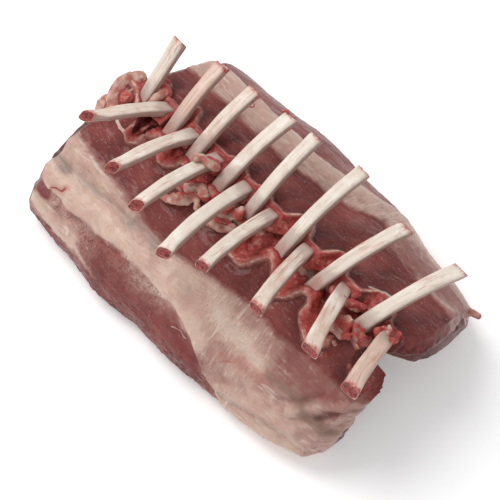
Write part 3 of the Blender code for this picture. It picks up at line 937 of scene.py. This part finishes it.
# %% Raw lamb: material
def raw_lamb(name):
    finish = bpy.data.materials.new(name)
    finish.use_nodes = True
    tree = finish.node_tree
    shader = tree.nodes["Principled BSDF"]
    values = patterns(tree, MEAT_PATTERNS)
    for mark in PAINT_MARKS:
        values[mark] = add(tree, "Attribute", output="Fac", attribute_name=mark)
    values["cross_share"] = values["cross"]
    values.update(patterns(tree, (("cross_folds", (1.3, 7.0), 3, 0.62, 0.9),)))
    values["wrinkles"] = add(tree, "Mix", {0: values["cross_share"], 2: values["along"], 3: values["cross_folds"]},
                             data_type="FLOAT")
    combine(tree, values, MEAT_SUMS)
    combine(tree, values, (
        ("wrinkle_1", "SUBTRACT", "wrinkles", 0.5),
        ("wrinkle_2", "ABSOLUTE", "wrinkle_1"),
        ("wrinkle_line", "MULTIPLY_ADD", "smooth", 0.05, "wrinkle_2"),
        ("crack_1", "SUBTRACT", 0.035, "net"),
        ("crack_2", "MAXIMUM", "crack_1", 0.0),
        ("net_cracks", "MULTIPLY", "crack_2", "netted"),
        ("line_1", "SUBTRACT", 0.022, "wrinkle_line"),
        ("line_2", "MAXIMUM", "line_1", 0.0),
        ("fine_lines", "MULTIPLY", "line_2", "lined"),
    ))
    muscle = coats(tree, values, colour("#843c37"), MUSCLE_COATS)
    covered = coats(tree, values, muscle, COVER_COATS)
    values["fat"] = coats(tree, values, covered, FAT_COATS)
    fresh = coats(tree, values, colour("#ad4842"), FRESH_COATS)
    values["fresh_cut"] = fresh
    values["end_cut"] = coats(tree, values, colour("#642723"), END_COATS)
    body = coats(tree, values, covered, (("fat", "cover_2", 0.75, 1.0, 1.0),))
    body = coats(tree, values, body, TINT_COATS)
    body = coats(tree, values, body, (
        # painted shade: the walls inside the tunnel under the ridge are coloured a darker red
        ("#6a2f2c", "hollow", 0.2, 0.8, 0.85),
        ("fresh_cut", "fresh_edge", 0.60, 0.85, 1.0),
        ("#c0796d", "rim_edge", 9.0, 10.2, 0.6),
        ("#dcbcab", "rim_edge", 10.2, 10.9, 0.8),
        ("end_cut", "end", 0.35, 0.65, 1.0),
        ("#8f3836", "socket", 0.2, 1.0, 0.7),
    ))
    tree.links.new(body, shader.inputs["Base Color"])

    combine(tree, values, (
        ("height_1", "MULTIPLY", "fibres", 0.35),
        ("height_2", "MULTIPLY_ADD", "grit", 0.45, "height_1"),
        ("height_3", "MULTIPLY_ADD", "wrinkle_line", 1.2, "height_2"),
    ))
    bump = add(tree, "Bump", {"Height": values["height_3"], "Strength": 0.8, "Distance": 0.0010})
    tree.links.new(bump, shader.inputs["Normal"])
    gloss = add(tree, "MapRange", {0: values["grit"], 1: 0.3, 2: 0.7, 3: 0.36, 4: 0.55})
    dull = add(tree, "Math", {0: values["hollow"], 1: 0.4, 2: gloss}, operation="MULTIPLY_ADD")
    tree.links.new(dull, shader.inputs["Roughness"])
    shader.inputs["IOR"].default_value = 1.34
    shader.inputs["Specular IOR Level"].default_value = 0.40
    shader.inputs["Subsurface Weight"].default_value = 0.10
    shader.inputs["Subsurface Scale"].default_value = 0.0015
    shader.inputs["Subsurface Radius"].default_value = (1.0, 0.35, 0.25)
    shader.inputs["Coat Weight"].default_value = 0.30
    shader.inputs["Coat Roughness"].default_value = 0.10
    shader.inputs["Coat IOR"].default_value = 1.36
    return finish


meat_finish = raw_lamb("raw_lamb_muscle_and_fat")
for piece in LOINS.values():
    piece.data.materials.clear()
    piece.data.materials.append(meat_finish)

# %% [markdown]
# ## Curls, flaps and trimmings
# Where the knife cleaned the ribs it left soft bits: a curl of fat round the first near rib, flaps
# and folded tongues of fat and red meat along the ridge, knobs where ribs leave the meat, and
# a few shreds on the sawn ends. They could be sculpted by hand. Here each is grown like wax:
# balls are set along a short path, joined, and remeshed with small voxels into one skin, which
# is then smoothed and roughened. Every path has a share of fat, from 0, red, to 1, cream.

# %% Paths of the soft bits: fat share, radius, then x, y, z points, all in mm
SOFT_BITS = {
    "curl_by_first_rib": (
        (0.80, 3.2, ((-90, -15, 61.5), (-93, -12, 63), (-96, -8, 63.5), (-97.5, -3.5, 63.5), (-97, 1, 63), (-94.5, 5, 62.5))),
        (0.60, 3.0, ((-95, -9, 59), (-96, -3, 59), (-94, 3, 59))),
        (0.00, 3.0, ((-92, -6, 60.5), (-91.5, -1, 60.5), (-90, 4, 60.5))),
        (0.35, 1.9, ((-89, -9.5, 64), (-88, -6.5, 65), (-90.5, -6.5, 64))),
        (0.80, 1.0, ((-90, -4.5, 65.5), (-91, -2, 64.5))),
    ),
    "tabs_at_thin_end": (
        (0.10, 2.6, ((-96, -19.5, 57), (-98, -16.5, 57), (-97, -13.5, 59))),
        (1.00, 0.9, ((-97, -20.5, 58.8), (-99, -18, 59.4), (-99.5, -16, 58.8))),
        (1.00, 0.8, ((-94.5, -18, 60.5), (-95.5, -15.5, 61.2), (-96, -13.2, 61.6))),
    ),
    "knobs_right_of_first_rib": (
        (0.80, 2.0, ((-77, -1, 66), (-78.5, 2, 66.5), (-78, 5, 67), (-78.5, 7.5, 66))),
        (0.05, 2.4, ((-84, 7, 65.5), (-81, 10, 65), (-78, 9, 65))),
        (0.10, 1.8, ((-85, 11, 65), (-83, 13, 64))),
    ),
    "fat_on_third_far_rib": (
        (0.85, 1.7, ((-36.5, -6, 74), (-35, -3.5, 74), (-32, -3.5, 73), (-30, -2.5, 71.5), (-28, -0.5, 70))),
        (0.35, 1.5, ((-33.5, -1.5, 72), (-30, 1, 69.5))),
        (1.00, 1.0, ((-37.5, -5, 74.5), (-36, -7, 75))),
    ),
    "pale_flap": (
        (0.95, 1.6, ((-39, -26.5, 57.5), (-36, -26, 58.5), (-33, -25, 59.2), (-29.5, -23, 60), (-26.5, -20.5, 61.3), (-26.5, -18, 62.2))),
        (0.75, 1.5, ((-34, -23, 59.5), (-30, -20.5, 60.5), (-26.5, -16.5, 62.5), (-23.5, -17, 63), (-21.2, -19, 62))),
        (0.25, 1.3, ((-33, -20.5, 60), (-29, -17.5, 61.5))),
    ),
    "pulp_by_fourth_near_rib": (
        (0.25, 2.1, ((-34, -15.5, 60), (-31, -12, 61.5), (-27, -10.5, 62.5))),
        (0.10, 2.0, ((-30, -17, 61), (-26, -14.5, 62.5), (-22, -13, 63.5))),
        (0.95, 1.3, ((-31.5, -16, 63), (-29, -14, 63.8), (-27.5, -12, 64.6), (-24.5, -11.5, 65.2))),
        (0.95, 1.0, ((-24, -13.5, 65.6), (-22.5, -11.5, 66))),
    ),
    "folded_tongue": (
        (0.90, 1.6, ((-11.5, -19, 62), (-9, -19.5, 62), (-6, -18.5, 62.2), (-3, -16.5, 62.8), (-1, -13.5, 64))),
        (0.05, 1.7, ((-11.5, -16.5, 62.5), (-8, -15.5, 63), (-4.5, -13.8, 63.8))),
        (0.95, 1.2, ((-10.5, -14, 63.4), (-7, -12.5, 64), (-4.5, -10.5, 65))),
        (0.30, 1.9, ((-6, -8.5, 65), (-4, -5.5, 66.5), (-3, -8.5, 66))),
        (0.95, 0.8, ((-4.5, -3.8, 68.2), (-5.5, -6, 67.4))),
    ),
    "wedge_by_eighth_near_rib": (
        (0.10, 2.2, ((66.5, -6.5, 61.5), (68.5, -4.8, 63), (71.5, -5.5, 64))),
        (0.05, 2.3, ((68, -8, 61), (72, -8, 62.5))),
        (0.95, 1.6, ((65, -11, 59.8), (67.5, -11, 60.8), (70.5, -11.3, 62), (73, -11.8, 63))),
        (0.50, 1.5, ((74, -11, 63.8), (76, -9.5, 64.5))),
        (0.80, 1.0, ((66.5, -4.5, 63.5), (69, -3, 65), (71.5, -3.5, 66))),
    ),
    "skin_at_eighth_near_rib": (
        (0.60, 1.3, ((75, -4, 67.5), (77, -6.5, 65.5), (79, -7.5, 63.3), (81, -6.5, 60.8), (83, -4.5, 60.3))),
        (0.45, 1.4, ((78, -3.5, 66), (80, -4.5, 63.5), (82, -3, 61.5))),
    ),
    "knob_at_eighth_far_rib": (
        (0.35, 1.7, ((83.5, 1.5, 66.5), (84, 4.5, 65.5), (86.5, 6, 65.5), (89, 5, 66))),
        (1.00, 1.2, ((85.5, 6.5, 69), (87, 5.2, 70), (87.5, 3.6, 70.6))),
        (0.10, 1.0, ((90.5, 2.5, 69.5), (92, 3.5, 69), (92.5, 2, 69.4))),
        (0.05, 1.6, ((91, 5.5, 65), (90, 8.5, 63.5))),
    ),
    "shreds_under_last_lobe": (
        (0.15, 1.5, ((61, 0.5, 67.5), (64, 1.5, 66), (66.5, 4, 64.5), (69.5, 6, 62))),
        (0.60, 1.0, ((63, -0.5, 66), (66, 0.5, 64), (68.5, 3, 62))),
        (0.85, 0.8, ((74, 7, 67.5), (76, 8, 68), (77.5, 7.5, 68))),
    ),
    "fat_nub_at_far_corner": (
        (0.90, 2.6, ((88.0, 52.2, 27.0), (91.0, 53.8, 25.5), (93.5, 55.2, 24.6))),
        (1.00, 1.5, ((93.5, 56.0, 24.6), (96.5, 57.4, 24.2), (99.0, 58.6, 23.8))),
    ),
    "crumbs_on_near_rack": (
        (1.00, 1.1, ((73, -15.6, 62), (74, -16, 61.8))),
        (0.00, 0.9, ((74.3, -21.3, 59.6), (75.2, -21.8, 59.4))),
    ),
    "shred_on_second_near_rib": (
        (0.05, 1.0, ((-61.6, 34, 78.8), (-61.4, 35.2, 79.2))),
    ),
    "loops_on_third_near_rib": (
        (0.30, 0.5, ((-41, 30, 77.6), (-39.6, 30.6, 77.2), (-38.8, 32, 76.8), (-39.6, 33.2, 76.8), (-41, 33.4, 77.4))),
        (0.20, 0.5, ((-41, 35.5, 78.2), (-40, 36.4, 78), (-40.6, 37.5, 78))),
    ),
    "shreds_on_fourth_near_rib": (
        (0.05, 0.8, ((-26.6, 39.6, 79.6), (-26.0, 40.6, 80.4), (-24.9, 41.0, 80.9), (-23.4, 40.8, 81.0))),
        (0.80, 0.5, ((-27.2, 38.0, 79.2), (-26.6, 39.0, 79.8))),
        (0.50, 0.6, ((-17.8, 36.6, 79.0), (-17.0, 35.6, 79.0), (-17.6, 34.4, 78.8))),
    ),
}
BALL_STEP = 0.7               # of a radius, between balls on a path
LUMP_GRAIN = 0.00045


# %% Grow them
def balls_on_path(path, radius):
    """Points along a path, close enough for their balls to run together."""
    points = [np.array(path[0], float)]
    for start, stop in zip(path, path[1:]):
        start, stop = np.array(start, float), np.array(stop, float)
        steps = max(1, math.ceil(np.linalg.norm(stop - start) / (BALL_STEP * radius)))
        points += [start + (stop - start) * (i + 1) / steps for i in range(steps)]
    return points


def grow_bit(name, strands, seed):
    centres, radii, fats = [], [], []
    for fat, radius, path in strands:
        for point in balls_on_path(path, radius):
            centres.append(point)
            radii.append(radius)
            fats.append(fat)
    centres, radii, fats = np.array(centres), np.array(radii), np.array(fats)
    radii = np.where(radii > 1.2, 1.25, 1.0) * radii * (1 + 0.14 * lumps(centres, 4.0, seed))
    bpy.ops.object.select_all(action="DESELECT")
    balls = []
    for centre, radius in zip(centres, radii):
        bpy.ops.mesh.primitive_ico_sphere_add(subdivisions=2, radius=radius / 1000, location=metres(*centre))
        balls.append(bpy.context.object)
    for ball in balls:
        ball.select_set(True)
    bpy.context.view_layer.objects.active = balls[0]
    bpy.ops.object.join()
    piece = bpy.context.object
    bpy.ops.object.transform_apply(location=True, rotation=True, scale=True)
    piece.name = piece.data.name = name
    apply_modifier(piece, "REMESH", mode="VOXEL", voxel_size=LUMP_GRAIN)
    apply_modifier(piece, "SMOOTH", factor=0.5, iterations=9)
    points, normals = read_points(piece)
    height = 0.30 * lumps(points, 3.2, seed + 1) + 0.16 * lumps(points, 1.1, seed + 2)
    write_points(piece, points + normals * height[:, None])
    select_only(piece)
    bpy.ops.object.shade_smooth()

    tree = KDTree(len(centres))
    for index, centre in enumerate(centres):
        tree.insert(centre, index)
    tree.balance()
    nearest = [tree.find(point)[1] for point in points.tolist()]
    fat = soften(piece, fats[nearest], 6) + 0.30 * lumps(points, 2.4, seed + 3)
    keep_grain(piece, points[:, 0], points[:, 1])
    keep_numbers(piece, fresh=smooth_step(0.78, 0.38, fat), cover=0.35 + 0.55 * np.clip(fat, 0, 1),
                 blush=0.50 + 0.4 * lumps(points, 2.6, seed + 5), smooth=np.full(len(fat), 0.6),
                 grey=np.full(len(fat), 0.75 if name.startswith("skin") else 0.0))
    return piece


BITS = []
for seed, (name, strands) in enumerate(SOFT_BITS.items()):
    BITS.append(grow_bit(name, strands, 40 + 4 * seed))
print("soft bits:", len(BITS), "faces:", sum(len(piece.data.polygons) for piece in BITS))

# %% [markdown]
# ## Flesh inside the ridge
# Between the ribs one looks down into the ridge and sees wet flesh there, deep in shade. It is a
# sheet of ragged muscle that hangs below the crossing of the ribs, from one rack's hollow to the
# other's. A grid is bent into a low vault, crumpled, and given a thickness. Patches of its colour
# are darkened as painted shade.

# %% Line the ridge
LINING_LENGTH = 178.0
LINING_WIDTH = 34.0
LINING_HEIGHT = 52.0
LINING_THICKNESS = 0.0022


def line_ridge():
    bpy.ops.object.select_all(action="DESELECT")
    bpy.ops.mesh.primitive_grid_add(x_subdivisions=178, y_subdivisions=40, size=1.0)
    piece = bpy.context.object
    piece.name = piece.data.name = "ragged_flesh_under_ridge"
    unit, _ = read_points(piece)
    along, across = unit[:, 0] / 1000, unit[:, 1] / 1000
    points = np.stack([along * LINING_LENGTH - 2, across * LINING_WIDTH + 2, np.full(len(along), LINING_HEIGHT)], axis=1)
    points[:, 2] += 5.0 - 22.0 * (across - 0.08) ** 2
    points[:, 2] += 2.0 * lumps(points, (8, 5, 5), 91) + 0.9 * lumps(points, 2.8, 92)
    points[:, 0] += 1.5 * lumps(points, (6, 4, 5), 93)
    write_points(piece, points)
    apply_modifier(piece, "SOLIDIFY", thickness=LINING_THICKNESS, offset=-1.0)
    select_only(piece)
    bpy.ops.object.shade_smooth()
    points, _ = read_points(piece)
    keep_grain(piece, points[:, 0], points[:, 1])
    # the dark patches on the lining are painted shade
    keep_numbers(piece, fresh=0.9 - 0.9 * smooth_step(0.15, 0.5, lumps(points, 6, 95)),
                 cover=0.75 + 0.2 * lumps(points, 3, 96), blush=0.4 + 0.3 * lumps(points, 4, 97),
                 dark=0.25 + 0.6 * lumps(points, (7, 4, 5), 94))
    return piece


BITS.append(line_ridge())
for piece in BITS:
    piece.data.materials.clear()
    piece.data.materials.append(meat_finish)

# %% [markdown]
# ## The bared ribs
# A lamb rib is a flat, bent blade of bone, scraped clean and sawn off. The CAD rib has the right
# bend and width, and only ten sides. Its copy gets a rim of hard bone and a recess of marrow
# by insetting the sawn face, and then a subdivision surface. The section is then pressed from
# an oval to a flat blade with rounded edges, and the sawn end is slanted, as the saw left it.

# %% Refine a rib
RIM_OF_BONE = 0.0009
SAWN_BEVEL = 0.00025
MARROW_DEPTH = 0.0005


def select_faces(piece, test):
    """Selects the faces whose centre and normal pass the test, in face mode."""
    select_only(piece)
    bpy.ops.object.mode_set(mode="EDIT")
    bpy.ops.mesh.select_mode(type="FACE")
    bpy.ops.mesh.select_all(action="DESELECT")
    bpy.ops.object.mode_set(mode="OBJECT")
    for face in piece.data.polygons:
        face.select = bool(test(face))
    bpy.ops.object.mode_set(mode="EDIT")


def refine_rib(rack, number):
    piece = working_copy(f"{rack}_rib_{number}", f"{rack}_bone_{number}")
    points, _ = read_points(piece)
    _, angle, _ = on_bend(rack, points)
    tip_side = SIDES[rack] * -1

    def is_sawn(face):
        return face.normal.y * tip_side > 0.96 and on_bend(
            rack, 1000 * np.array([face.center]))[1][0] < angle.min() + 6

    select_faces(piece, is_sawn)
    bpy.ops.mesh.dissolve_faces()
    bpy.ops.mesh.select_all(action="SELECT")
    bpy.ops.mesh.tris_convert_to_quads()
    bpy.ops.object.mode_set(mode="OBJECT")
    select_faces(piece, is_sawn)
    bpy.ops.mesh.inset(thickness=SAWN_BEVEL, depth=0)
    bpy.ops.mesh.inset(thickness=RIM_OF_BONE, depth=0)
    bpy.ops.mesh.inset(thickness=SAWN_BEVEL, depth=-MARROW_DEPTH)
    bpy.ops.object.mode_set(mode="OBJECT")
    apply_modifier(piece, "SUBSURF", levels=3, render_levels=3)
    return piece


BONES = {}
for rack in SIDES:
    for number in range(1, 9):
        BONES[rack, number] = refine_rib(rack, number)
print("faces of one rib:", len(BONES["near", 1].data.polygons))


# %% Shape and mark each rib
BLADE_POWER = 3.6             # 2 is an oval section, more is boxier
BIN_LENGTH = 3.0              # mm of rib over which its width and thickness are measured
SLANT = {"near": (0.35, 0.3, 0.3, 0.6, 0.3, 0.3, 0.3, 0.35),   # mm back for each mm up the sawn end
         "far": (0.86, 0.86, 0.86, 0.6, 0.45, 0.3, 0.3, 0.5)}
SKEW = {"near": (0.0,) * 8,    # mm back for each mm along +X across the sawn end
        "far": (0.5, 0.5, 0.5, 0.45, 0.3, 0.1, 0.1, 0.1)}
SLIM = {"near": (0.05,) * 8,   # share by which a rib is narrower at its tip
        "far": (0.34, 0.32, 0.28, 0.20, 0.16, 0.06, 0.0, 0.0)}
PINK = {"near": (0.30, 0.60, 0.42, 0.15, 0.10, 0.10, 0.35, 0.25),
        "far": (0.40, 0.35, 0.28, 0.05, 0.35, 0.42, 0.45, 0.60)}


def half_sizes(from_tip, across, above):
    """Half width and half thickness of the rib at each point, from bins along it."""
    bins = np.clip((from_tip / BIN_LENGTH).astype(int), 0, None)
    count = bins.max() + 1
    half_width = np.array([abs(across[bins == i]).max(initial=0.1) for i in range(count)])
    half_depth = np.array([abs(above[bins == i]).max(initial=0.1) for i in range(count)])
    middles = (np.arange(count) + 0.5) * BIN_LENGTH
    return np.interp(from_tip, middles, half_width), np.interp(from_tip, middles, half_depth)


def study_rib(rack, number):
    piece = BONES[rack, number]
    cad_x, cad_angle, cad_radius = on_bend(rack, node_points(f"{rack}_rib_{number}"))
    middle_x = np.polyfit(cad_angle, cad_x, 2)
    middle_radius = np.polyfit(cad_angle, cad_radius, 3)
    points, normals = read_points(piece)
    x, angle, radius = on_bend(rack, points)
    across = x - np.polyval(middle_x, angle)
    above = radius - np.polyval(middle_radius, angle)
    from_tip = (angle - cad_angle.min()) * np.radians(1) * BEND[rack][2]
    tip_face = smooth_step(0.75, 0.95, normals[:, 1] * -SIDES[rack]) * (from_tip < 6)
    half_width, half_depth = half_sizes(from_tip, across, above)
    turn = np.arctan2(above / half_depth, across / half_width)
    core = np.hypot(across / half_width, above / half_depth)

    blade = (abs(np.cos(turn)) ** BLADE_POWER + abs(np.sin(turn)) ** BLADE_POWER) ** (-1 / BLADE_POWER)
    new_across = core * blade * np.cos(turn) * half_width
    new_above = core * blade * np.sin(turn) * half_depth
    seed = number + (10 if rack == "far" else 0)
    cylinder = np.stack([from_tip, 4 * np.cos(turn), 4 * np.sin(turn)], axis=1) + 50 * seed
    swell = 0.22 * lumps(cylinder, (14, 5, 5), 1) + 0.07 * lumps(cylinder, (7, 0.9, 0.9), 2)
    swell = np.where(tip_face > 0.3, 0, swell)
    new_across += swell * np.cos(turn)
    new_above += swell * np.sin(turn)
    root = smooth_step(24, 38, angle)
    slim = 1 - SLIM[rack][number - 1] * (0.4 * (1 - root) + 0.6 * smooth_step(26, 0, from_tip))
    new_across *= slim
    new_above *= slim
    groove = np.exp(-((above / half_depth) / 0.45) ** 2) * (abs(np.cos(turn)) > 0.6)
    new_across -= 0.35 * groove * np.sign(across) * (1 - tip_face)

    slant = SLANT[rack][number - 1] * np.clip(above + half_depth, 0, None)
    slant += SKEW[rack][number - 1] * np.clip(new_across + half_width * slim, 0, None)
    slant *= smooth_step(14, 0, from_tip)
    saw_marks = 0.25 * lumps(points, (1.2, 1.2, 1.2), 3) * tip_face * (core < 0.8)
    new_angle = angle + np.degrees((slant + saw_marks) / BEND[rack][2])
    shaped = from_bend(rack, np.polyval(middle_x, angle) + new_across, new_angle,
                       np.polyval(middle_radius, angle) + new_above)
    write_points(piece, shaped)
    select_only(piece)
    bpy.ops.object.shade_smooth()
    keep_grain(piece, from_tip + 60 * seed, turn * 3.5)
    # side and under mark a blade's side faces and underside, which the material paints darker
    side = smooth_step(0.72, 0.95, abs(np.cos(turn)))
    keep_numbers(piece, from_tip=from_tip, core=core, tip_face=tip_face, side=side,
                 under=smooth_step(0.2, -0.5, above / half_depth), pink=np.full(len(x), PINK[rack][number - 1]),
                 root=root)


for rack, number in BONES:
    study_rib(rack, number)

# %% Scraped rib bone: recipe
BONE_PATTERNS = (
    ("tone", 9, 3, 0.55, 0.0),
    ("streaks", (14.0, 1.0), 3, 0.6, 0.3),
    ("scrapes", (5.0, 0.5), 3, 0.6, 0.0),
    ("ragged", (2.2, 1.6), 4, 0.65, 0.4),
    ("film", (9.0, 3.5), 4, 0.6, 0.5),
    ("sponge", 1.7, 3, 0.75, 0.0),
    ("grit", 0.9, 2, 0.6, 0.0),
)
BONE_MARKS = ("from_tip", "core", "tip_face", "side", "under", "pink", "root")
BONE_SUMS = (
    ("pink_streaks", "MULTIPLY_ADD", "pink", 0.16, "streaks"),
    ("stain_1", "MULTIPLY", "ragged", 7.0),
    ("stain_2", "ADD", "stain_1", "from_tip"),
    ("stain", "MULTIPLY_ADD", "pink", -2.0, "stain_2"),
    ("pink_film", "MULTIPLY_ADD", "film", 0.9, "pink"),
    ("root_film", "MULTIPLY_ADD", "film", 0.7, "root"),
    ("core_edge", "MULTIPLY_ADD", "sponge", 0.25, "core"),
)
BONE_COATS = (
    ("#efe6da", "tone", 0.50, 0.68, 0.9),
    ("#d8c1b0", "tone", 0.46, 0.30, 0.8),
    ("#c9b1a0", "film", 0.55, 0.70, 0.5),
    ("#cfa691", "pink_film", 0.74, 1.05, 0.65),
    ("#c58c7c", "pink_streaks", 0.62, 0.74, 0.75),
    # side faces: darker mauve, partly film left on the bone and partly painted shade
    ("#a58277", "side", 0.1, 0.9, 0.75),
    # painted shade on the underside of each rib
    ("#8f6a61", "under", 0.0, 1.0, 0.55),
    ("#b49c92", "root_film", 0.50, 1.00, 0.7),
    ("#a86a5e", "root_film", 1.10, 1.45, 0.6),
    ("#cb8a7b", "stain", 5.2, 3.6, 0.7),
    ("#a3433a", "stain", 3.9, 2.6, 0.8),
)
MARROW_COATS = (
    ("#4e1513", "sponge", 0.50, 0.40, 1.0),
    ("#b8564d", "sponge", 0.57, 0.66, 0.8),
    ("#3a100f", "grit", 0.42, 0.32, 0.9),
)


# %% Scraped rib bone: material
def scraped_bone(name):
    finish = bpy.data.materials.new(name)
    finish.use_nodes = True
    tree = finish.node_tree
    shader = tree.nodes["Principled BSDF"]
    values = patterns(tree, BONE_PATTERNS)
    for mark in BONE_MARKS:
        values[mark] = add(tree, "Attribute", output="Fac", attribute_name=mark)
    combine(tree, values, BONE_SUMS)
    bone = coats(tree, values, colour("#e4d6c7"), BONE_COATS)
    values["marrow"] = coats(tree, values, colour("#9c3631"), MARROW_COATS)
    values["sawn"] = coats(tree, values, colour("#d3aa9b"), (("marrow", "core_edge", 1.08, 0.96, 1.0),))
    body = coats(tree, values, bone, (("sawn", "tip_face", 0.3, 0.7, 1.0),))
    tree.links.new(body, shader.inputs["Base Color"])
    bump = add(tree, "Bump", {"Height": values["scrapes"], "Strength": 0.45, "Distance": 0.0003})
    tree.links.new(bump, shader.inputs["Normal"])
    gloss = add(tree, "MapRange", {0: values["tone"], 1: 0.3, 2: 0.7, 3: 0.38, 4: 0.52})
    tree.links.new(gloss, shader.inputs["Roughness"])
    shader.inputs["IOR"].default_value = 1.50
    shader.inputs["Coat Weight"].default_value = 0.10
    shader.inputs["Coat Roughness"].default_value = 0.25
    return finish


bone_finish = scraped_bone("scraped_rib_bone")
for piece in BONES.values():
    piece.data.materials.clear()
    piece.data.materials.append(bone_finish)

# %% Tie the pieces to the frame
for rack, piece in LOINS.items():
    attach(piece, "root")
    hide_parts(f"{rack}_meat")
for piece in BITS:
    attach(piece, "root")
for (rack, number), piece in BONES.items():
    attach(piece, "root")
    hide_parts(f"{rack}_rib_{number}")
